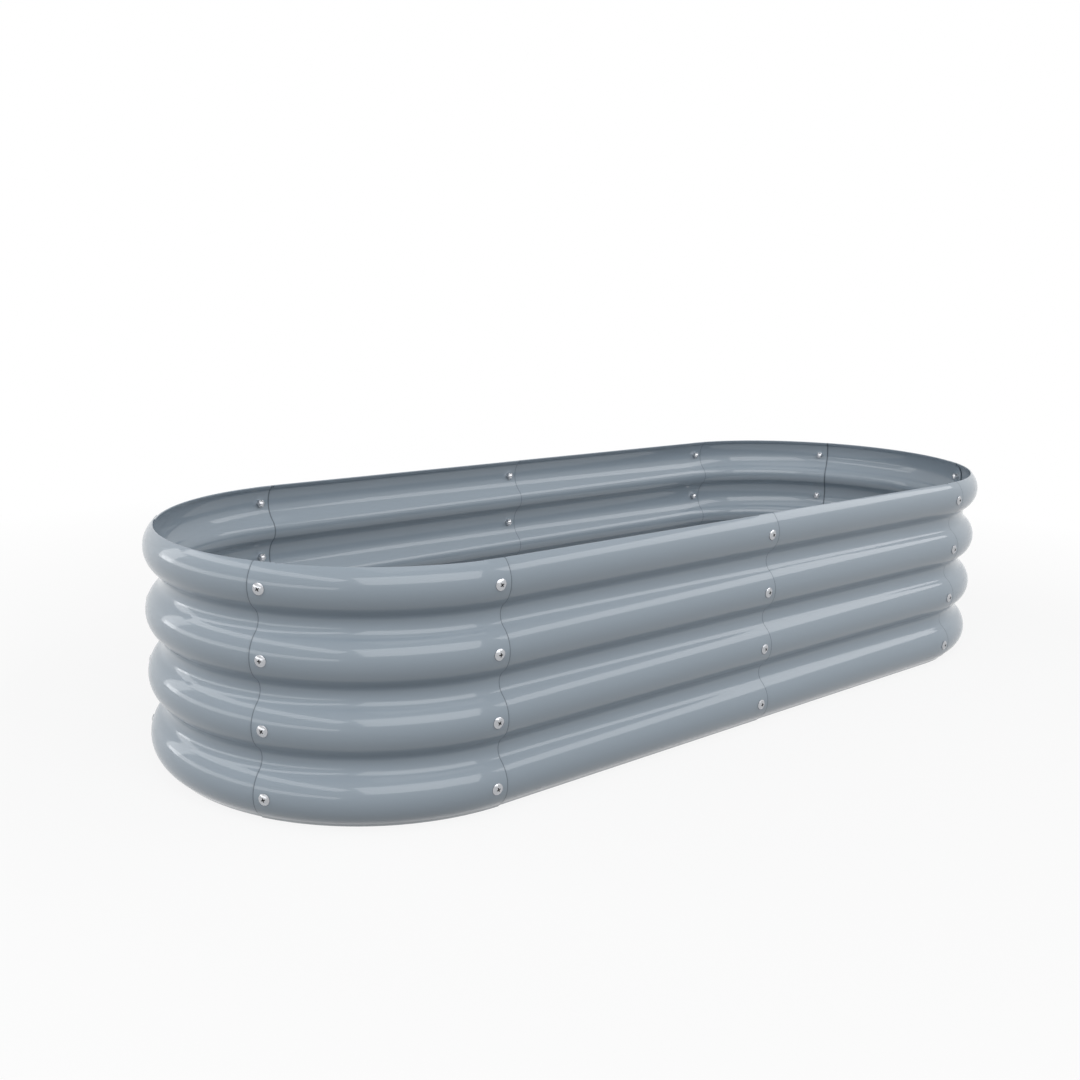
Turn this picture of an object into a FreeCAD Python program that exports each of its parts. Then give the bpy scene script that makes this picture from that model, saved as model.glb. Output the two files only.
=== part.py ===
import FreeCAD
import Part
import math
import os

# Raised garden bed: an open oval wall of corrugated steel sheets, bolted together at lapped seams.
# Millimetres. Origin at the middle of the ground plane, +X along the bed, -Y the front, +Z up.

# Overall size, measured over the rib crests
bed_length = 1480.0
bed_width = 580.0

# Sheet and ribs
sheet_thickness = 0.8
rib_count = 4
rib_pitch = 81.4
rib_depth = 19.8
valley_radius = 17.8
hem_length = 5.5          # folded safety edge along the ground and the rim
edge_lean = 42.0          # how far from upright the sheet leans in at those two edges

# Flats that rolled ribs and small rounds are drawn with
crest_flats = 5
valley_flats = 2
round_flats = 8

# Seams
corner_seam_angle = 4.0   # the long sides' outer seams, past the start of the rounded end
end_seam_angle = 58.0     # the two seams of a rounded end, from its front and its back
lap_reach = 15.0          # each sheet runs this far past the screw line
lap_step = 1.7            # how far the inner sheet lies inside the outer one, along the screw
hem_gap = 1.5             # between the end of an outer sheet's hem and the inner sheet's edge

# Screws and cap nuts
screw_radius = 3.0
head_radius = 7.0
head_crown_radius = 4.2
head_height = 2.8
head_seat_gap = 0.05
hole_clearance = 0.3
nut_across_flats = 10.0
nut_hex_height = 6.0
nut_dome_height = 3.0
nut_dome_radius = 4.6
nut_dome_top_radius = 2.4
nut_seat_gap = 0.15
thread_gap = 0.05
tip_gap = 0.8             # between the screw's tip and the end of the nut's bore

# Sizes that follow from the ones above
lean_angle = math.radians(edge_lean)
hem_rise = hem_length * math.cos(lean_angle)
edge_drop = valley_radius * math.sin(lean_angle) - hem_rise
flank_angle = 2.0 * math.atan(2.0 * rib_depth / rib_pitch)
arc_centre_distance = rib_pitch / 2.0 / math.sin(flank_angle)
crest_radius = arc_centre_distance - valley_radius
crest_flat_half_angle = flank_angle / crest_flats
crest_flat_distance = crest_radius * math.cos(crest_flat_half_angle)
crest_flat_half_width = (crest_radius - sheet_thickness) * math.sin(crest_flat_half_angle)
valley_centre_offset = arc_centre_distance * math.cos(flank_angle) - crest_flat_distance
end_radius = bed_width / 2.0
end_axis_x = bed_length / 2.0 - end_radius
lap_angle = math.degrees(lap_reach / end_radius)
hem_gap_angle = math.degrees(hem_gap / end_radius)
crest_angles = [flank_angle * (2.0 * flat / crest_flats - 1.0) for flat in range(crest_flats + 1)]
crest_heights = [rib_pitch * (rib + 0.5) - edge_drop for rib in range(rib_count)]
bed_height = crest_heights[-1] + crest_radius * math.sin(lean_angle) + hem_rise
hole_radius = screw_radius + hole_clearance
nut_overhang = max(0.0, nut_across_flats / 2.0 - crest_flat_half_width)
nut_corner_drop = nut_overhang * math.tan(2.0 * crest_flat_half_angle)
nut_seat = -(lap_step + sheet_thickness + nut_corner_drop + nut_seat_gap)
up = FreeCAD.Vector(0, 0, 1)


def crest_point(height, angle, inset):
    """A point of the rib, outward offset first, at an angle up from the middle of its crest."""
    radius = crest_radius - inset
    return radius * math.cos(angle) - crest_flat_distance, height + radius * math.sin(angle)


def valley_point(height, angle, inset):
    """The same for a valley whose middle is at this height."""
    radius = valley_radius + inset
    return valley_centre_offset - radius * math.cos(angle), height + radius * math.sin(angle)


def edge_point(point, level):
    """Where the straight run on from a point, leaning in, reaches the ground or the rim."""
    offset, height = point
    return offset - abs(height - level) * math.tan(lean_angle), level


def rib_line(inset):
    """One face of the sheet from the ground to the rim, its ribs as flats on tangent arcs."""
    foot = valley_point(crest_heights[0] - rib_pitch / 2.0, lean_angle, inset)
    points = [edge_point(foot, 0.0), foot]
    for height in crest_heights[:-1]:
        points += [crest_point(height, angle, inset) for angle in crest_angles]
        for flat in range(1, valley_flats):
            angle = flank_angle * (2.0 * flat / valley_flats - 1.0)
            points.append(valley_point(height + rib_pitch / 2.0, angle, inset))
    points += [crest_point(crest_heights[-1], angle, inset) for angle in crest_angles if angle < lean_angle]
    brow = crest_point(crest_heights[-1], lean_angle, inset)
    return points + [brow, edge_point(brow, bed_height)]


def sheet_section(hemmed):
    """The sheet's outline as (outward offset, height) points, with or without its folded hems."""
    outer = rib_line(0.0)
    inner = rib_line(sheet_thickness)
    if hemmed:
        fold = rib_line(2.0 * sheet_thickness)
        inner = fold[:2] + inner[1:-1] + fold[-2:]
    return outer + inner[::-1]


def section_face(hemmed, place):
    """The section as a face, each point set in space by place(offset, height)."""
    points = [place(offset, height) for offset, height in sheet_section(hemmed)]
    return Part.Face(Part.makePolygon(points + points[:1]))


def outward(side, angle):
    """The level direction out of a rounded end, side -1 left or +1 right, turned back from the front."""
    turn = math.radians(angle)
    return FreeCAD.Vector(side * math.sin(turn), -math.cos(turn), 0)


def lap_shift(side, start, end, start_depth, end_depth):
    """How far a bent sheet's axis moves so that each end lies at its own depth in the lap."""
    first = outward(side, start)
    last = outward(side, end)
    size = first.x * last.y - first.y * last.x
    shift_x = (-start_depth * last.y + end_depth * first.y) / size
    shift_y = (-end_depth * first.x + start_depth * last.x) / size
    return FreeCAD.Vector(shift_x, shift_y, 0)


def bent_run(side, start, end, shift, hemmed):
    """A stretch of sheet bent about a rounded end's axis, between two angles."""
    axis = FreeCAD.Vector(side * end_axis_x, 0, 0) + shift
    direction = outward(side, start)

    def place(offset, height):
        return axis + direction * (end_radius + offset) + up * height

    return section_face(hemmed, place).revolve(axis, up, side * (end - start))


def straight_run(side, front, start_x, end_x, start_depth, end_depth, hemmed):
    """A straight stretch of sheet, front -1 or back +1, that eases from one depth to the other."""
    slope = (end_depth - start_depth) / end_axis_x

    def place(offset, height):
        depth = start_depth + slope * start_x
        return FreeCAD.Vector(side * start_x, front * (end_radius - depth + offset), height)

    length = end_x - start_x
    return section_face(hemmed, place).extrude(FreeCAD.Vector(side * length, -front * slope * length, 0))


def joined(pieces):
    """Stretches of one sheet made a single solid."""
    solid = pieces[0].fuse(pieces[1:]).removeSplitter()
    return solid.Solids[0]


def screw_lines(side, angle):
    """Where a rounded end's seam has its screws: points on the outer crests and the way out."""
    direction = outward(side, angle)
    foot = FreeCAD.Vector(side * end_axis_x, 0, 0) + direction * end_radius
    return [(foot + up * height, direction) for height in crest_heights]


def middle_screw_lines(front):
    """The same for the seam in the middle of a long side."""
    direction = FreeCAD.Vector(0, front, 0)
    return [(direction * end_radius + up * height, direction) for height in crest_heights]


def round_section(point, direction, distance, radius, flats):
    """A regular outline about a screw line, its flats just touching the true circle."""
    across = direction.cross(up)
    corner_radius = radius / math.cos(math.pi / flats)
    corners = []
    for corner in range(flats):
        turn = 2.0 * math.pi * corner / flats
        spoke = across * math.cos(turn) + up * math.sin(turn)
        corners.append(point + direction * distance + spoke * corner_radius)
    return Part.makePolygon(corners + corners[:1])


def bar(point, direction, start, end, radius, flats):
    """A straight bar along a screw line."""
    section = Part.Face(round_section(point, direction, start, radius, flats))
    return section.extrude(direction * (end - start))


def taper(point, direction, start, start_radius, end, tip_radius, flats):
    """The same, from one radius to another."""
    sections = [round_section(point, direction, start, start_radius, flats),
                round_section(point, direction, end, tip_radius, flats)]
    return Part.makeLoft(sections, True, True)


def drilled(sheet, lines):
    """The sheet with a clearance hole on each screw line."""
    holes = []
    for point, direction in lines:
        holes.append(bar(point, direction, -rib_depth, rib_depth, hole_radius, round_flats))
    return sheet.cut(Part.makeCompound(holes)).Solids[0]


def bent_sheet(side, start, end, start_depth, end_depth):
    """A sheet of a rounded end between two seams. Its hem stops short of a sheet that it laps over."""
    shift = lap_shift(side, start, end, start_depth, end_depth)
    first = start - lap_angle
    last = end + lap_angle
    hem_first = first if start_depth > 0 else start + lap_angle + hem_gap_angle
    hem_last = last if end_depth > 0 else end - lap_angle - hem_gap_angle
    pieces = [bent_run(side, hem_first, hem_last, shift, True)]
    if start_depth == 0:
        pieces.append(bent_run(side, first, hem_first, shift, False))
    if end_depth == 0:
        pieces.append(bent_run(side, hem_last, last, shift, False))
    sheet = joined(pieces) if len(pieces) > 1 else pieces[0]
    return drilled(sheet, screw_lines(side, start) + screw_lines(side, end))


def side_sheet(side, front, middle_depth, corner_depth):
    """Half of a long side, from its middle seam round to the seam at the start of a rounded end."""
    seam = corner_seam_angle if front < 0 else 180.0 - corner_seam_angle
    straight_end = 0.0 if front < 0 else 180.0
    turn = 1.0 if front < 0 else -1.0
    shift = FreeCAD.Vector(0, -front * corner_depth, 0)
    middle_start = lap_reach + hem_gap if middle_depth == 0 else -lap_reach
    pieces = [straight_run(side, front, middle_start, end_axis_x, middle_depth, corner_depth, True)]
    if middle_depth == 0:
        pieces.append(straight_run(side, front, -lap_reach, middle_start, middle_depth, corner_depth, False))
    last = seam + turn * lap_angle
    pieces.append(bent_run(side, straight_end, last, shift, corner_depth > 0))
    return drilled(joined(pieces), middle_screw_lines(front) + screw_lines(side, seam))


def screw(point, direction):
    """A truss-headed screw, its head against the outer crest and its tip short of the bore's end."""
    tip = nut_seat - nut_hex_height + tip_gap
    head_top = head_seat_gap + head_height
    shank = bar(point, direction, tip, head_seat_gap, screw_radius, round_flats)
    head = taper(point, direction, head_seat_gap, head_radius, head_top, head_crown_radius, round_flats)
    return shank.fuse(head).Solids[0]


def cap_nut(point, direction):
    """A hexagon cap nut with a blind bore, its domed end inside the bed."""
    hex_end = nut_seat - nut_hex_height
    dome_end = hex_end - nut_dome_height
    flat_radius = nut_across_flats / 2.0
    bore_radius = screw_radius + thread_gap
    body = bar(point, direction, nut_seat, hex_end, flat_radius, 6)
    dome = taper(point, direction, hex_end, nut_dome_radius, dome_end, nut_dome_top_radius, round_flats)
    bore = bar(point, direction, nut_seat, hex_end, bore_radius, round_flats)
    return body.fuse(dome).cut(bore).Solids[0]


back_corner_angle = 180.0 - corner_seam_angle
back_end_angle = 180.0 - end_seam_angle

# Each sheet's two ends, at depth 0 where it is the outer sheet of the lap and one step in where it is inner
sheets = {
    "left_front_corner_sheet": bent_sheet(-1, corner_seam_angle, end_seam_angle, 0.0, 0.0),
    "left_end_sheet": bent_sheet(-1, end_seam_angle, back_end_angle, lap_step, 0.0),
    "left_back_corner_sheet": bent_sheet(-1, back_end_angle, back_corner_angle, lap_step, lap_step),
    "right_front_corner_sheet": bent_sheet(1, corner_seam_angle, end_seam_angle, lap_step, 0.0),
    "right_end_sheet": bent_sheet(1, end_seam_angle, back_end_angle, lap_step, 0.0),
    "right_back_corner_sheet": bent_sheet(1, back_end_angle, back_corner_angle, lap_step, 0.0),
    "front_left_side_sheet": side_sheet(-1, -1, 0.0, lap_step),
    "front_right_side_sheet": side_sheet(1, -1, lap_step, 0.0),
    "back_right_side_sheet": side_sheet(1, 1, 0.0, lap_step),
    "back_left_side_sheet": side_sheet(-1, 1, lap_step, 0.0),
}

fastened_seams = {
    "front_middle": middle_screw_lines(-1),
    "back_middle": middle_screw_lines(1),
    "front_corner": screw_lines(-1, corner_seam_angle) + screw_lines(1, corner_seam_angle),
    "back_corner": screw_lines(-1, back_corner_angle) + screw_lines(1, back_corner_angle),
    "left_end": screw_lines(-1, end_seam_angle) + screw_lines(-1, back_end_angle),
    "right_end": screw_lines(1, end_seam_angle) + screw_lines(1, back_end_angle),
}

parts = dict(sheets)
for name, lines in fastened_seams.items():
    parts[name + "_screws"] = Part.makeCompound([screw(point, direction) for point, direction in lines])
    parts[name + "_nuts"] = Part.makeCompound([cap_nut(point, direction) for point, direction in lines])

os.makedirs("parts", exist_ok=True)
for name, shape in parts.items():
    shape.exportStep("parts/" + name + ".step")
print(len(parts), "pieces written")
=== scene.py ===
import math

import bmesh
import bpy
from mathutils import Matrix, Vector


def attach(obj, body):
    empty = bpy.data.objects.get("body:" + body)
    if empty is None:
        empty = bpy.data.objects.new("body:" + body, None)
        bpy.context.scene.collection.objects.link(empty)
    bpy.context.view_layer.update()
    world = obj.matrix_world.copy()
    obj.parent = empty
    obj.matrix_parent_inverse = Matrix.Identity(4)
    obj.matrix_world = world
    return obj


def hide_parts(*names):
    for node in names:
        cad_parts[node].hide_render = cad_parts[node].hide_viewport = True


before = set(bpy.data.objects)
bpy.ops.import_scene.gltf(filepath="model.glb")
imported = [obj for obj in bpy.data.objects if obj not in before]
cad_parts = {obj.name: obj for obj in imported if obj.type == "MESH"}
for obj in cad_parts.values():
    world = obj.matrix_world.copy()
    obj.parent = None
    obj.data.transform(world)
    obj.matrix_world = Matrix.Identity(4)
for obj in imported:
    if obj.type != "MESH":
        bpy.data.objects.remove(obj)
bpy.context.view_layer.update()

# Raised garden bed: an oval wall of rolled and painted steel sheets, bolted through their laps.
# Metres and degrees; angles round a rounded end run from its front to its back.

print("frame loaded:", len(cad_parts), "nodes")
bpy.context.scene.view_settings.view_transform = "Standard"

up = Vector((0, 0, 1))
outToUp = (0, -1, 0)  # a turn about this axis carries outwards into upwards
sharpAngle = math.radians(38)  # edges that bend more than this show as sharp


# Shader groups, each used by several finishes

def shaderGroup(name, inputs, outputs):
    tree = bpy.data.node_groups.new(name, "ShaderNodeTree")
    for label, kind, value in inputs:
        socket = tree.interface.new_socket(name=label, in_out="INPUT", socket_type=kind)
        if value is not None:
            socket.default_value = value
    for label, kind in outputs:
        tree.interface.new_socket(name=label, in_out="OUTPUT", socket_type=kind)
    return tree, tree.nodes.new("NodeGroupInput"), tree.nodes.new("NodeGroupOutput")


def feed(tree, value, socket):
    # a number is set on the socket, and anything else is linked to it
    if isinstance(value, (int, float)):
        socket.default_value = value
    else:
        tree.links.new(value, socket)


def compute(tree, operation, *values):
    node = tree.nodes.new("ShaderNodeMath")
    node.operation = operation
    for value, socket in zip(values, node.inputs):
        feed(tree, value, socket)
    return node.outputs[0]


def noiseNode(tree, vector, scale, detail):
    node = tree.nodes.new("ShaderNodeTexNoise")
    node.inputs["Detail"].default_value = detail
    tree.links.new(vector, node.inputs["Vector"])
    tree.links.new(scale, node.inputs["Scale"])
    return node


def spread(tree, value, fromLow, fromHigh, toLow, toHigh):
    node = tree.nodes.new("ShaderNodeMapRange")
    given = {"Value": value, "From Min": fromLow, "From Max": fromHigh, "To Min": toLow, "To Max": toHigh}
    for label, amount in given.items():
        feed(tree, amount, node.inputs[label])
    return node.outputs["Result"]


def buildSurfaceRipple():
    # the fine unevenness of a coating, as a normal
    tree, given, made = shaderGroup(
        "surfaceRipple",
        [("Vector", "NodeSocketVector", None), ("Scale", "NodeSocketFloat", 500.0),
         ("Strength", "NodeSocketFloat", 0.1), ("Depth", "NodeSocketFloat", 0.0001)],
        [("Normal", "NodeSocketVector")])
    grain = noiseNode(tree, given.outputs["Vector"], given.outputs["Scale"], 3.0)
    bump = tree.nodes.new("ShaderNodeBump")
    tree.links.new(given.outputs["Strength"], bump.inputs["Strength"])
    tree.links.new(given.outputs["Depth"], bump.inputs["Distance"])
    tree.links.new(grain.outputs["Fac"], bump.inputs["Height"])
    tree.links.new(bump.outputs["Normal"], made.inputs["Normal"])
    return tree


def buildToneDrift():
    # a slow drift of tone over a surface: the colour, and a mask from 0 to 1
    tree, given, made = shaderGroup(
        "toneDrift",
        [("Vector", "NodeSocketVector", None), ("Color", "NodeSocketColor", (0.5, 0.5, 0.5, 1)),
         ("Scale", "NodeSocketFloat", 4.0), ("Amount", "NodeSocketFloat", 0.04)],
        [("Color", "NodeSocketColor"), ("Mask", "NodeSocketFloat")])
    drift = noiseNode(tree, given.outputs["Vector"], given.outputs["Scale"], 4.0)
    mask = spread(tree, drift.outputs["Fac"], 0.3, 0.7, 0.0, 1.0)
    least = compute(tree, "SUBTRACT", 1.0, given.outputs["Amount"])
    most = compute(tree, "ADD", 1.0, given.outputs["Amount"])
    tone = tree.nodes.new("ShaderNodeHueSaturation")
    tree.links.new(spread(tree, mask, 0.0, 1.0, least, most), tone.inputs["Value"])
    tree.links.new(given.outputs["Color"], tone.inputs["Color"])
    tree.links.new(tone.outputs["Color"], made.inputs["Color"])
    tree.links.new(mask, made.inputs["Mask"])
    return tree


def buildLapShadeLine():
    # a mask for painted shade along the free edge of each lap, outside and inside the wall, standing in for
    # the shadow in the lap's step
    tree, given, made = shaderGroup(
        "lapShadeLine",
        [("Vector", "NodeSocketVector", None), ("End Axis", "NodeSocketFloat", 0.45),
         ("Radius", "NodeSocketFloat", 0.29), ("Corner Seam", "NodeSocketFloat", 0.07),
         ("End Seam", "NodeSocketFloat", 1.0), ("Reach", "NodeSocketFloat", 0.015),
         ("Width", "NodeSocketFloat", 0.0015)],
        [("Mask", "NodeSocketFloat")])
    value = given.outputs
    place = tree.nodes.new("ShaderNodeSeparateXYZ")
    tree.links.new(value["Vector"], place.inputs[0])
    x, y = place.outputs["X"], place.outputs["Y"]
    normal = tree.nodes.new("ShaderNodeSeparateXYZ")
    tree.links.new(tree.nodes.new("ShaderNodeNewGeometry").outputs["True Normal"], normal.inputs[0])
    side, back = compute(tree, "SIGN", x), compute(tree, "SIGN", y)
    endward = compute(tree, "SUBTRACT", compute(tree, "ABSOLUTE", x), value["End Axis"])
    pastEnd = compute(tree, "MAXIMUM", endward, 0.0)
    # +1 on the wall's outer face and -1 on its inner one, where the other sheet's edge shows
    acrossOut = compute(tree, "MULTIPLY", normal.outputs["Y"], y)
    alongOut = compute(tree, "MULTIPLY", normal.outputs["X"], compute(tree, "MULTIPLY", pastEnd, side))
    face = compute(tree, "SIGN", compute(tree, "ADD", acrossOut, alongOut))
    front = compute(tree, "MULTIPLY", back, face)
    quarter = compute(tree, "MULTIPLY", side, front)
    reachAngle = compute(tree, "DIVIDE", value["Reach"], value["Radius"])
    turn = compute(tree, "ARCTAN2", endward, compute(tree, "ABSOLUTE", y))
    gaps = []
    for seamName, sign in (("Corner Seam", quarter), ("End Seam", front)):
        edge = compute(tree, "SUBTRACT", value[seamName], compute(tree, "MULTIPLY", reachAngle, sign))
        off = compute(tree, "ABSOLUTE", compute(tree, "SUBTRACT", turn, edge))
        gaps.append(compute(tree, "MULTIPLY", off, value["Radius"]))
    middle = compute(tree, "ADD", x, compute(tree, "MULTIPLY", value["Reach"], front))
    gaps.append(compute(tree, "ABSOLUTE", middle))
    nearest = compute(tree, "MINIMUM", compute(tree, "MINIMUM", gaps[0], gaps[1]), gaps[2])
    half = compute(tree, "MULTIPLY", value["Width"], 0.5)
    tree.links.new(spread(tree, nearest, half, value["Width"], 1.0, 0.0), made.inputs["Mask"])
    return tree


surfaceRipple = buildSurfaceRipple()
toneDrift = buildToneDrift()
lapShadeLine = buildLapShadeLine()


def placeGroup(tree, group, values, vector):
    node = tree.nodes.new("ShaderNodeGroup")
    node.node_tree = group
    for label, value in values.items():
        node.inputs[label].default_value = value
    tree.links.new(vector, node.inputs["Vector"])
    return node


def finishOf(name, look):
    # one material from its own values: tone, gloss, fine unevenness and, on the sheets, painted shade along
    # the laps' edges
    material = bpy.data.materials.new(name)
    material.use_nodes = True
    tree = material.node_tree
    shader = tree.nodes["Principled BSDF"]
    where = tree.nodes.new("ShaderNodeTexCoord").outputs["Object"]
    tone = placeGroup(tree, toneDrift, {"Color": look["color"], "Scale": look["driftScale"],
                                        "Amount": look["drift"]}, where)
    color, coat = tone.outputs["Color"], look["coat"]
    # painted shade along each lap's edge: the colour is darkened and the coat's reflection is taken away
    # there
    if "laps" in look:
        lap = placeGroup(tree, lapShadeLine, look["laps"], where).outputs["Mask"]
        shade = tree.nodes.new("ShaderNodeMix")
        shade.data_type, shade.blend_type = "RGBA", "MULTIPLY"
        tree.links.new(compute(tree, "MULTIPLY", lap, look["lapShade"]), shade.inputs["Factor"])
        tree.links.new(color, shade.inputs["A"])
        shade.inputs["B"].default_value = (0, 0, 0, 1)
        color = shade.outputs["Result"]
        coat = compute(tree, "MULTIPLY", compute(tree, "SUBTRACT", 1.0, lap), coat)
    tree.links.new(color, shader.inputs["Base Color"])
    rough = spread(tree, tone.outputs["Mask"], 0.0, 1.0, look["roughness"][0], look["roughness"][1])
    tree.links.new(rough, shader.inputs["Roughness"])
    ripple = placeGroup(tree, surfaceRipple, {"Scale": look["rippleScale"], "Strength": look["ripple"],
                                              "Depth": look["rippleDepth"]}, where)
    tree.links.new(ripple.outputs["Normal"], shader.inputs["Normal"])
    shader.inputs["Metallic"].default_value = look["metallic"]
    feed(tree, coat, shader.inputs["Coat Weight"])
    shader.inputs["Coat Roughness"].default_value = look["coatRoughness"]
    shader.inputs["Specular IOR Level"].default_value = look["specular"]
    return material


# The wall's section and plan, shared by all sheets

bed = {
    "endRadius": 0.290,       # over the rib crests
    "endAxisX": 0.450,
    "thickness": 0.0008,
    "ribs": 4,
    "ribPitch": 0.0814,
    "ribDepth": 0.0198,
    "valleyRadius": 0.0178,
    "edgeLean": 42.0,         # how far from upright the sheet leans in at the ground and the rim
    "hemLength": 0.0055,
    "hemFoldRadius": 0.00095,
    "seamAngle": 4.0,         # the long sides' outer seams
    "endSeamAngle": 58.0,
    "lapReach": 0.015,
    "lapStep": 0.0017,
    "hemGap": 0.0015,
    "crestSteps": 26,
    "valleySteps": 18,
    "foldSteps": 8,
    "bendStep": 1.5,          # degrees between rows round an end
}
lean = math.radians(bed["edgeLean"])
edgeDrop = bed["valleyRadius"] * math.sin(lean) - bed["hemLength"] * math.cos(lean)
ribPitch = bed["ribPitch"]
flank = 2 * math.atan(2 * bed["ribDepth"] / ribPitch)
arcDistance = ribPitch / 2 / math.sin(flank)
crestRadius = arcDistance - bed["valleyRadius"]
valleyCentre = arcDistance * math.cos(flank) - crestRadius
crestHeights = [ribPitch * (rib + 0.5) - edgeDrop for rib in range(bed["ribs"])]
bedHeight = crestHeights[-1] + crestRadius * math.sin(lean) + bed["hemLength"] * math.cos(lean)
lapAngle = math.degrees(bed["lapReach"] / bed["endRadius"])
hemGapAngle = math.degrees(bed["hemGap"] / bed["endRadius"])


# Finishes

paintLook = {
    "color": (0.30, 0.36, 0.42, 1), "drift": 0.02, "driftScale": 3.0,
    "roughness": (0.42, 0.5), "metallic": 0.0, "specular": 0.25,
    "coat": 0.8, "coatRoughness": 0.05,
    "ripple": 0.12, "rippleScale": 420.0, "rippleDepth": 0.00012,
    "lapShade": 0.5,          # how much darker the painted shade along a lap's edge is
    "laps": {
        "End Axis": bed["endAxisX"], "Radius": bed["endRadius"], "Reach": bed["lapReach"],
        "Corner Seam": math.radians(bed["seamAngle"]), "End Seam": math.radians(bed["endSeamAngle"]),
        "Width": 0.0014,
    },
}
zincLook = {
    "color": (0.45, 0.46, 0.48, 1), "drift": 0.06, "driftScale": 160.0,
    "roughness": (0.16, 0.3), "metallic": 1.0, "specular": 0.5,
    "coat": 0.0, "coatRoughness": 0.1,
    "ripple": 0.15, "rippleScale": 1500.0, "rippleDepth": 0.00005,
}
nutLook = {**zincLook, "color": (0.62, 0.63, 0.65, 1), "roughness": (0.24, 0.4)}
# painted shade: a dark, dull colour for the screws' cross recess, in place of its shadow
recessShadeLook = {
    **zincLook, "color": (0.05, 0.052, 0.055, 1), "roughness": (0.6, 0.7), "metallic": 0.0, "specular": 0.2,
}
sheetPaint = finishOf("sheetPaint", paintLook)
screwZinc = finishOf("screwZinc", zincLook)
recessShade = finishOf("recessShade", recessShadeLook)
nutZinc = finishOf("nutZinc", nutLook)
print("finishes made")


# The sheets



def bendTip(bm, tip, centre, angle, steps):
    # carries a wire's last point round a centre in the section's plane
    out = bmesh.ops.spin(bm, geom=[tip], cent=(centre[0], 0, centre[1]), axis=outToUp, angle=angle,
                         steps=steps)
    return [part for part in out["geom_last"] if isinstance(part, bmesh.types.BMVert)][0]


def runTip(bm, tip, move):
    # carries it straight on
    out = bmesh.ops.extrude_vert_indiv(bm, verts=[tip])
    bmesh.ops.translate(bm, verts=out["verts"], vec=(move[0], 0, move[1]))
    return out["verts"][0]


def rollSection(bm):
    # the sheet's outer face from the ground to the rim, hem to hem, as a wire with X outwards
    fold = bed["hemFoldRadius"]
    sine, cosine = math.sin(lean), math.cos(lean)
    valley = bed["valleyRadius"]
    lowValley = crestHeights[0] - ribPitch / 2
    reach = valleyCentre - valley * cosine           # where the straight edge meets the valley's arc
    straight = (lowValley + valley * sine - fold * (1 - sine)) / cosine
    footX = reach - straight * sine
    foldCentre = Vector((footX - fold * cosine, fold))
    hemEnd = foldCentre + Vector((-cosine, sine)) * fold + Vector((sine, cosine)) * bed["hemLength"]
    first = bmesh.ops.create_vert(bm, co=(hemEnd.x, 0, hemEnd.y))["vert"][0]
    tip = runTip(bm, first, Vector((-sine, -cosine)) * bed["hemLength"])
    tip = bendTip(bm, tip, foldCentre, math.pi, bed["foldSteps"])
    lowHem = len(bm.verts)
    tip = runTip(bm, tip, Vector((sine, cosine)) * straight)
    tip = bendTip(bm, tip, (valleyCentre, lowValley), lean - flank, 4)
    for height in crestHeights[:-1]:
        tip = bendTip(bm, tip, (-crestRadius, height), 2 * flank, bed["crestSteps"])
        tip = bendTip(bm, tip, (valleyCentre, height + ribPitch / 2), -2 * flank, bed["valleySteps"])
    tip = bendTip(bm, tip, (-crestRadius, crestHeights[-1]), flank + lean, bed["crestSteps"])
    rise = (bedHeight - fold * (1 - sine) - tip.co.z) / cosine
    tip = runTip(bm, tip, Vector((-sine, cosine)) * rise)
    highHem = len(bm.verts)
    tip = bendTip(bm, tip, (tip.co.x - fold * cosine, bedHeight - fold), math.pi, bed["foldSteps"])
    runTip(bm, tip, Vector((sine, -cosine)) * bed["hemLength"])
    bm.verts.index_update()
    hem = bm.edges.layers.int.new("hem")
    for edge in bm.edges:
        order = sorted(vert.index for vert in edge.verts)
        edge[hem] = int(order[1] < lowHem or order[0] >= highHem - 1)
    return list(bm.edges)


def outward(side, angle):
    turn = math.radians(angle)
    return Vector((side * math.sin(turn), -math.cos(turn), 0))


def standAt(bm, place, direction):
    # turns a section or a fastener so that its X looks along a level direction
    across = up.cross(direction)
    turn = Matrix((direction, across, up)).transposed().to_4x4()
    bmesh.ops.transform(bm, matrix=Matrix.Translation(place) @ turn, verts=bm.verts)


def sweep(bm, edges, steps, turn=0.0, axis=(0, 0, 0), move=(0, 0, 0)):
    # rolls the row on about an upright axis, or draws it straight, and gives the last row
    ends = list(dict.fromkeys(vert for edge in edges for vert in edge.verts))
    out = bmesh.ops.spin(bm, geom=ends + edges, cent=axis, axis=up, angle=math.radians(turn),
                         dvec=Vector(move) / steps, steps=steps)
    return [part for part in out["geom_last"] if isinstance(part, bmesh.types.BMEdge)]


def bare(bm, edges):
    hem = bm.edges.layers.int["hem"]
    return [edge for edge in edges if not edge[hem]]


def roll(bm, edges, side, angle, axis):
    return sweep(bm, edges, max(1, round(abs(angle) / bed["bendStep"])), side * angle, axis)


def faceOut(bm):
    # all faces the same way round, then out of the bed
    bmesh.ops.remove_doubles(bm, verts=bm.verts, dist=2e-6)
    bmesh.ops.recalc_face_normals(bm, faces=bm.faces)
    facing = 0.0
    for face in bm.faces:
        middle = face.calc_center_median()
        away = Vector((middle.x - max(-bed["endAxisX"], min(bed["endAxisX"], middle.x)), middle.y, 0))
        facing += face.normal.dot(away.normalized()) * face.calc_area()
    if facing < 0:
        bmesh.ops.reverse_faces(bm, faces=bm.faces)


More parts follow.
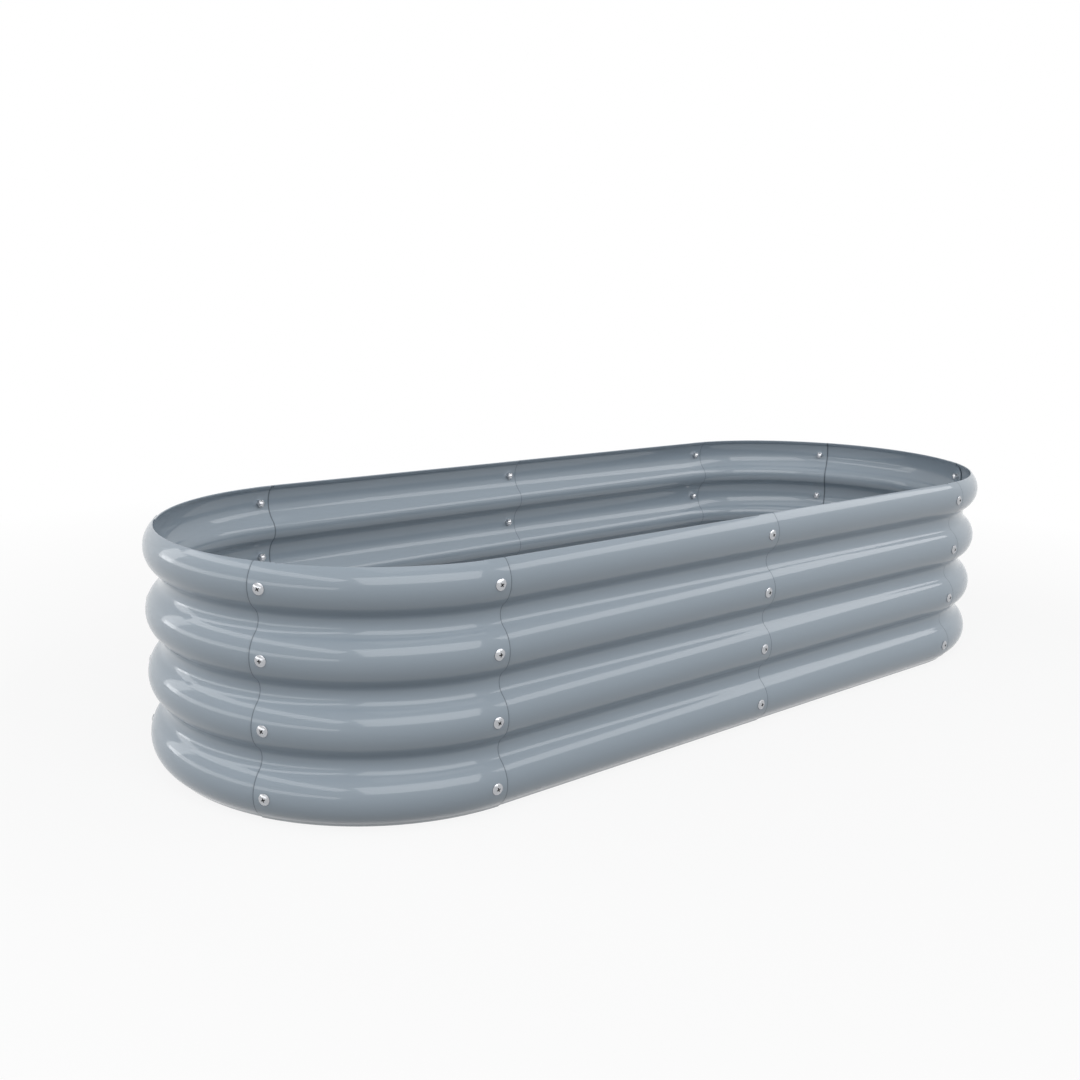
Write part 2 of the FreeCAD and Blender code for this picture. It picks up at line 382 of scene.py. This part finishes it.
def appliedMesh(name, bm, modifiers=()):
    # the bmesh as a mesh with its modifiers applied
    mesh = bpy.data.meshes.new(name)
    bm.to_mesh(mesh)
    bm.free()
    if not modifiers:
        return mesh
    holder = bpy.data.objects.new(name, mesh)
    bpy.context.collection.objects.link(holder)
    for kind, settings in modifiers:
        modifier = holder.modifiers.new(kind.lower(), kind)
        for key, value in settings.items():
            setattr(modifier, key, value)
    done = bpy.data.meshes.new_from_object(holder.evaluated_get(bpy.context.evaluated_depsgraph_get()))
    bpy.data.objects.remove(holder)
    bpy.data.meshes.remove(mesh)
    return done


def addPiece(name, mesh, material, node, recess=None):
    mesh.shade_smooth()
    mesh.set_sharp_from_angle(angle=sharpAngle)
    marks = [face.material_index for face in mesh.polygons]
    mesh.materials.clear()
    mesh.materials.append(material)
    if recess:
        mesh.materials.append(recess)
        mesh.polygons.foreach_set("material_index", marks)
    piece = bpy.data.objects.new(name, mesh)
    bpy.context.collection.objects.link(piece)
    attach(piece, "root")
    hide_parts(node)
    return piece


def addSheet(name, bm, node):
    faceOut(bm)
    wall = {"thickness": bed["thickness"], "offset": -1.0, "use_even_offset": True, "use_rim": True}
    mesh = appliedMesh(name, bm, [("SOLIDIFY", wall)])
    addPiece(name, mesh, sheetPaint, node)


def lapShift(side, start, end, startDepth, endDepth):
    # how far a bent sheet's axis moves so that each end lies at its own depth in the lap
    first, last = outward(side, start), outward(side, end)
    size = first.x * last.y - first.y * last.x
    return Vector(((-startDepth * last.y + endDepth * first.y) / size,
                   (-endDepth * first.x + startDepth * last.x) / size, 0))


def addBentSheet(name, node, side, start, end, startDepth, endDepth):
    axis = Vector((side * bed["endAxisX"], 0, 0)) + lapShift(side, start, end, startDepth, endDepth)
    first, last = start - lapAngle, end + lapAngle
    hemFirst = first if startDepth else start + lapAngle + hemGapAngle
    hemLast = last if endDepth else end - lapAngle - hemGapAngle
    bm = bmesh.new()
    row = rollSection(bm)
    direction = outward(side, hemFirst)
    standAt(bm, axis + direction * bed["endRadius"], direction)
    lastRow = roll(bm, row, side, hemLast - hemFirst, axis)
    if not startDepth:
        roll(bm, bare(bm, row), side, first - hemFirst, axis)
    if not endDepth:
        roll(bm, bare(bm, lastRow), side, last - hemLast, axis)
    addSheet(name, bm, node)


def addSideSheet(name, node, side, front, middleDepth, cornerDepth):
    slope = (cornerDepth - middleDepth) / bed["endAxisX"]
    middleStart = bed["lapReach"] + bed["hemGap"] if middleDepth == 0 else -bed["lapReach"]
    bm = bmesh.new()
    row = rollSection(bm)
    depth = middleDepth + slope * middleStart
    standAt(bm, Vector((side * middleStart, front * (bed["endRadius"] - depth), 0)), Vector((0, front, 0)))
    length = bed["endAxisX"] - middleStart
    lastRow = sweep(bm, row, 24, move=(side * length, -front * slope * length, 0))
    if middleDepth == 0:
        back = middleStart + bed["lapReach"]
        sweep(bm, bare(bm, row), 2, move=(-side * back, front * slope * back, 0))
    axis = Vector((side * bed["endAxisX"], -front * cornerDepth, 0))
    turn = -front * (bed["seamAngle"] + lapAngle)
    roll(bm, lastRow if cornerDepth else bare(bm, lastRow), side, turn, axis)
    addSheet(name, bm, node)


step = bed["lapStep"]
seam, endSeam = bed["seamAngle"], bed["endSeamAngle"]
addBentSheet("leftFrontCornerSheet", "left_front_corner_sheet", -1, seam, endSeam, 0, 0)
addBentSheet("leftEndSheet", "left_end_sheet", -1, endSeam, 180 - endSeam, step, 0)
addBentSheet("leftBackCornerSheet", "left_back_corner_sheet", -1, 180 - endSeam, 180 - seam, step, step)
addBentSheet("rightFrontCornerSheet", "right_front_corner_sheet", 1, seam, endSeam, step, 0)
addBentSheet("rightEndSheet", "right_end_sheet", 1, endSeam, 180 - endSeam, step, 0)
addBentSheet("rightBackCornerSheet", "right_back_corner_sheet", 1, 180 - endSeam, 180 - seam, step, 0)
addSideSheet("frontLeftSideSheet", "front_left_side_sheet", -1, -1, 0, step)
addSideSheet("frontRightSideSheet", "front_right_side_sheet", 1, -1, step, 0)
addSideSheet("backRightSideSheet", "back_right_side_sheet", 1, 1, 0, step)
addSideSheet("backLeftSideSheet", "back_left_side_sheet", -1, 1, step, 0)
print("sheets rolled: 10")


# Screws and cap nuts, drawn once along X with the crest they sit on at 0

screwSizes = {
    "shankRadius": 0.003,
    "tip": -0.00785,
    "seat": 0.00005,
    "headRadius": 0.007,
    "rim": 0.0006,            # the head's upright edge
    "headHeight": 0.0028,
    "recessWidth": 0.0019,
    "recessLength": 0.0072,
    "recessDepth": 0.0016,
    "recessFoot": 0.55,       # the recess's width at its bottom, as a share of the top's
    "recessTurn": 20,
    "recessMargin": 0.0003,
    "tipChamfer": 0.0005,
    "edgeRound": 0.0002,
    "segments": 40,
    "domeSteps": 8,
}
nutSizes = {
    "acrossFlats": 0.010,
    "seat": -0.00265,
    "hexHeight": 0.006,
    "domeRadius": 0.0046,
    "domeHeight": 0.003,
    "boreRadius": 0.00305,
    "chamfer": 0.0005,
    "segments": 36,
}


def lathe(bm, segments):
    # turns the wires about X into a closed shell
    bmesh.ops.spin(bm, geom=bm.verts[:] + bm.edges[:], cent=(0, 0, 0), axis=(1, 0, 0), angle=2 * math.pi,
                   steps=segments, use_merge=True)
    bmesh.ops.remove_doubles(bm, verts=bm.verts, dist=1e-6)
    bmesh.ops.recalc_face_normals(bm, faces=bm.faces)
    return bm


def wireThrough(points):
    bm = bmesh.new()
    tip = bmesh.ops.create_vert(bm, co=(points[0][0], 0, points[0][1]))["vert"][0]
    for before, after in zip(points, points[1:]):
        tip = runTip(bm, tip, (after[0] - before[0], after[1] - before[1]))
    return bm, tip


def domeBall(radius, height):
    # the radius of the ball that a shallow dome is cut from
    return (radius ** 2 + height ** 2) / (2 * height)


def domeOn(bm, tip, base, radius, height, steps, sense):
    # a shallow dome from the wire's tip to the axis
    ballRadius = domeBall(radius, height)
    centre = (base + sense * (height - ballRadius), 0)
    return bendTip(bm, tip, centre, -sense * math.asin(radius / ballRadius), steps)


def block(length, width, depth, taper):
    # a bar along Z with its foot narrowed, for cutting a recess from +X
    bm = bmesh.new()
    bmesh.ops.create_cube(bm, size=1.0)
    bmesh.ops.scale(bm, vec=(depth, width, length), verts=bm.verts)
    foot = [vert for vert in bm.verts if vert.co.x < 0]
    bmesh.ops.scale(bm, vec=(1, taper, taper), verts=foot)
    return bm


def combined(name, mesh, cutters):
    # the mesh after each cutter has been joined to it, cut from it or kept in common with it
    bm = bmesh.new()
    bm.from_mesh(mesh)
    bpy.data.meshes.remove(mesh)
    modifiers, tools = [], []
    for operation, tool in cutters:
        other = bpy.data.objects.new(name + operation, appliedMesh(name + operation, tool))
        bpy.context.collection.objects.link(other)
        tools.append(other)
        modifiers.append(("BOOLEAN", {"operation": operation, "solver": "EXACT", "object": other}))
    done = appliedMesh(name, bm, modifiers)
    for other in tools:
        spare = other.data
        bpy.data.objects.remove(other)
        bpy.data.meshes.remove(spare)
    return done


def markRecess(shape, top):
    # the recess's faces, which lie above the seat and well under the dome, take the second material, a dark
    # dull colour that is painted shade in the cross recess
    size = screwSizes
    ballRadius = domeBall(size["headRadius"], size["headHeight"] - size["rim"])
    ballCentre = Vector((top - ballRadius, 0, 0))
    for face in shape.polygons:
        depth = ballRadius - (face.center - ballCentre).length
        radial = math.hypot(face.center.y, face.center.z)
        if (face.center.x > size["seat"] + size["recessMargin"] and depth > size["recessMargin"]
                and radial < size["recessLength"] / 2 + size["recessMargin"]):
            face.material_index = 1


def screwMesh():
    size = screwSizes
    top = size["seat"] + size["headHeight"]
    rimTop = size["seat"] + size["rim"]
    chamfer, edge = size["tipChamfer"], size["edgeRound"]
    bm, tip = wireThrough([(size["tip"], 0), (size["tip"], size["shankRadius"] - chamfer),
                           (size["tip"] + chamfer, size["shankRadius"]), (size["seat"], size["shankRadius"]),
                           (size["seat"], size["headRadius"] - edge),
                           (size["seat"] + edge, size["headRadius"]), (rimTop, size["headRadius"])])
    domeOn(bm, tip, rimTop, size["headRadius"], size["headHeight"] - size["rim"], size["domeSteps"], 1)
    head = appliedMesh("screw", lathe(bm, size["segments"]))
    bars = []
    for quarter in (0, 90):
        bar = block(size["recessLength"], size["recessWidth"], 2 * size["recessDepth"], size["recessFoot"])
        turn = Matrix.Rotation(math.radians(quarter + size["recessTurn"]), 3, "X")
        bmesh.ops.rotate(bar, cent=(0, 0, 0), matrix=turn, verts=bar.verts)
        bmesh.ops.translate(bar, vec=(top, 0, 0), verts=bar.verts)
        bars.append(("DIFFERENCE", bar))
    shape = combined("screwHead", head, bars)
    markRecess(shape, top)
    return shape


def nutMesh():
    size = nutSizes
    flat = size["acrossFlats"] / 2
    corner = flat / math.cos(math.pi / 6)
    hexEnd = size["seat"] - size["hexHeight"]
    bm = bmesh.new()
    ring = bmesh.ops.create_circle(bm, cap_ends=True, radius=corner, segments=6)["verts"]
    bmesh.ops.rotate(bm, cent=(0, 0, 0), matrix=Matrix.Rotation(math.radians(90), 3, "Y"), verts=ring)
    bmesh.ops.translate(bm, vec=(hexEnd, 0, 0), verts=ring)
    far = bmesh.ops.extrude_face_region(bm, geom=bm.faces[:])["geom"]
    bmesh.ops.translate(bm, vec=(size["hexHeight"], 0, 0),
                        verts=[part for part in far if isinstance(part, bmesh.types.BMVert)])
    bmesh.ops.recalc_face_normals(bm, faces=bm.faces)
    hexBar = appliedMesh("nut", bm)
    wide = corner + 0.0003
    drop = size["chamfer"] * wide / corner
    turned = wireThrough([(size["seat"], 0), (size["seat"], flat), (size["seat"] - drop, wide),
                          (hexEnd + drop, wide), (hexEnd, flat), (hexEnd, 0)])[0]
    cap, tip = wireThrough([(hexEnd + 0.001, 0), (hexEnd + 0.001, size["domeRadius"]),
                            (hexEnd, size["domeRadius"])])
    domeOn(cap, tip, hexEnd, size["domeRadius"], size["domeHeight"], 8, -1)
    bore = wireThrough([(size["seat"] + 0.001, 0), (size["seat"] + 0.001, size["boreRadius"]),
                        (hexEnd, size["boreRadius"]), (hexEnd - 0.0006, 0)])[0]
    return combined("capNut", hexBar, [("INTERSECT", lathe(turned, size["segments"])),
                                       ("UNION", lathe(cap, size["segments"])),
                                       ("DIFFERENCE", lathe(bore, size["segments"]))])


def copiesAt(mesh, lines, turns):
    # the fastener's mesh set on each screw line, each turned a little further about it
    bm = bmesh.new()
    for count, (point, direction) in enumerate(lines):
        known = len(bm.verts)
        bm.from_mesh(mesh)
        bm.verts.ensure_lookup_table()
        across = up.cross(direction)
        turn = Matrix((direction, across, up)).transposed().to_4x4()
        spin = Matrix.Rotation(math.radians(turns[count % len(turns)]), 4, "X")
        bmesh.ops.transform(bm, matrix=Matrix.Translation(point) @ turn @ spin, verts=bm.verts[known:])
    return bm


def seamLines(side, angle):
    direction = outward(side, angle)
    foot = Vector((side * bed["endAxisX"], 0, 0)) + direction * bed["endRadius"]
    return [(foot + up * height, direction) for height in crestHeights]


def middleLines(front):
    direction = Vector((0, front, 0))
    return [(direction * bed["endRadius"] + up * height, direction) for height in crestHeights]


screwShape, nutShape = screwMesh(), nutMesh()
seams = {
    "frontMiddle": middleLines(-1),
    "backMiddle": middleLines(1),
    "frontCorner": seamLines(-1, seam) + seamLines(1, seam),
    "backCorner": seamLines(-1, 180 - seam) + seamLines(1, 180 - seam),
    "leftEnd": seamLines(-1, endSeam) + seamLines(-1, 180 - endSeam),
    "rightEnd": seamLines(1, endSeam) + seamLines(1, 180 - endSeam),
}
screwTurns = (0, 34, 71, 12, 55, 83, 25, 62)  # degrees; no two heads stop at the same place
for seamName, lines in seams.items():
    nodeStem = "".join("_" + letter.lower() if letter.isupper() else letter for letter in seamName)
    screws = appliedMesh(seamName + "Screws", copiesAt(screwShape, lines, screwTurns))
    addPiece(seamName + "Screws", screws, screwZinc, nodeStem + "_screws",
             recess=recessShade)
    nuts = appliedMesh(seamName + "Nuts", copiesAt(nutShape, lines, (0,)))
    addPiece(seamName + "Nuts", nuts, nutZinc, nodeStem + "_nuts")
print("fasteners set:", sum(len(lines) for lines in seams.values()), "screws and as many nuts")


# Floor, background and lights

stage = {
    "floorRadius": 14.0,
    "floorColor": (0.1, 0.1, 0.1, 1),      # what it sends back on to the bed
    "seenColor": (0.85, 0.85, 0.85, 1),    # what the camera and reflections see of it
    "shadowReach": (0.9, 1.8),             # metres over which the floor fades to white
    "shadowShare": 0.14,
    "skyStrength": 0.24,
}


def seenDirectly(tree):
    # 1 for camera, glossy and transmission rays
    path = tree.nodes.new("ShaderNodeLightPath")
    total = path.outputs["Is Camera Ray"]
    for label in ("Is Glossy Ray", "Is Transmission Ray"):
        total = compute(tree, "MAXIMUM", total, path.outputs[label])
    return total


def addFloor():
    material = bpy.data.materials.new("paleFloor")
    material.use_nodes = True
    tree = material.node_tree
    shader = tree.nodes["Principled BSDF"]
    shader.inputs["Roughness"].default_value = 0.8
    shader.inputs["Specular IOR Level"].default_value = 0.1
    white = tree.nodes.new("ShaderNodeEmission")
    blend = tree.nodes.new("ShaderNodeMixShader")
    tint = tree.nodes.new("ShaderNodeMix")
    tint.data_type = "RGBA"
    seen = seenDirectly(tree)
    tree.links.new(seen, tint.inputs["Factor"])
    tint.inputs["A"].default_value = stage["floorColor"]
    tint.inputs["B"].default_value = stage["seenColor"]
    tree.links.new(tint.outputs["Result"], shader.inputs["Base Color"])
    where = tree.nodes.new("ShaderNodeTexCoord")
    distance = tree.nodes.new("ShaderNodeVectorMath")
    distance.operation = "LENGTH"
    tree.links.new(where.outputs["Object"], distance.inputs[0])
    far = spread(tree, distance.outputs["Value"], *stage["shadowReach"], 1 - stage["shadowShare"], 1.0)
    tree.links.new(compute(tree, "MULTIPLY", far, seen), blend.inputs[0])
    tree.links.new(shader.outputs[0], blend.inputs[1])
    tree.links.new(white.outputs[0], blend.inputs[2])
    tree.links.new(blend.outputs[0], tree.nodes["Material Output"].inputs["Surface"])
    bm = bmesh.new()
    bmesh.ops.create_circle(bm, cap_ends=True, radius=stage["floorRadius"], segments=96)
    floor = bpy.data.objects.new("floor", appliedMesh("floor", bm))
    floor.data.materials.append(material)
    bpy.context.collection.objects.link(floor)


def lightWorld():
    world = bpy.data.worlds.new("paleStudio")
    world.use_nodes = True
    bpy.context.scene.world = world
    tree = world.node_tree
    strength = spread(tree, seenDirectly(tree), 0.0, 1.0, stage["skyStrength"], 1.0)
    sky = tree.nodes["Background"]
    sky.inputs["Color"].default_value = (1, 1, 1, 1)
    tree.links.new(strength, sky.inputs["Strength"])


softBoxes = {
    # where it hangs, what it faces, width, height, brightness
    "overheadBox": ((0.0, -0.8, 3.4), (0.0, -0.2, 0.15), 2.5, 1.8, 0.8),
    "frontBox": ((-1.0, -4.0, 2.9), (-0.1, -0.29, 0.15), 5.0, 2.4, 2.7),
    "rightBox": ((3.4, -2.6, 2.9), (0.1, -0.29, 0.15), 3.6, 1.4, 2.6),
    "leftLow": ((-3.2, 0.6, 0.55), (-0.7, 0.2, 0.2), 7.0, 0.5, 2.2),
    "leftHigh": ((-3.2, 0.6, 2.9), (-0.7, 0.2, 0.2), 7.0, 0.8, 2.6),
    "leftPatch": ((-2.4, 3.0, 1.1), (-0.72, 0.0, 0.2), 0.9, 1.7, 1.9),
}


def addSoftBox(name, place, target, width, height, brightness):
    lamp = bpy.data.lights.new(name, "AREA")
    lamp.shape = "RECTANGLE"
    lamp.size, lamp.size_y = width, height
    lamp.energy = brightness * width * height * math.pi
    holder = bpy.data.objects.new(name, lamp)
    holder.location = place
    holder.rotation_mode = "QUATERNION"
    holder.rotation_quaternion = (Vector(target) - Vector(place)).to_track_quat("-Z", "Y")
    holder.visible_camera = False
    bpy.context.collection.objects.link(holder)


addFloor()
lightWorld()
for boxName, values in softBoxes.items():
    addSoftBox(boxName, *values)
print("stage lit")


# Camera at the photograph's viewpoint

view = {
    "place": (-1.2624, -1.2855, 0.6104),
    "heading": 40.38,         # degrees to the right of straight back
    "downTilt": 12.47,
    "roll": 1.42,
    "lens": 39.41,
}
camera = bpy.data.objects.new("camera", bpy.data.cameras.new("camera"))
camera.data.sensor_width = 36.0
camera.data.lens = view["lens"]
camera.location = view["place"]
facing = Matrix.Rotation(math.radians(-view["heading"]), 4, "Z") @ Matrix.Rotation(
    math.radians(90 - view["downTilt"]), 4, "X") @ Matrix.Rotation(math.radians(view["roll"]), 4, "Z")
camera.rotation_euler = facing.to_euler()
bpy.context.collection.objects.link(camera)
bpy.context.scene.camera = camera
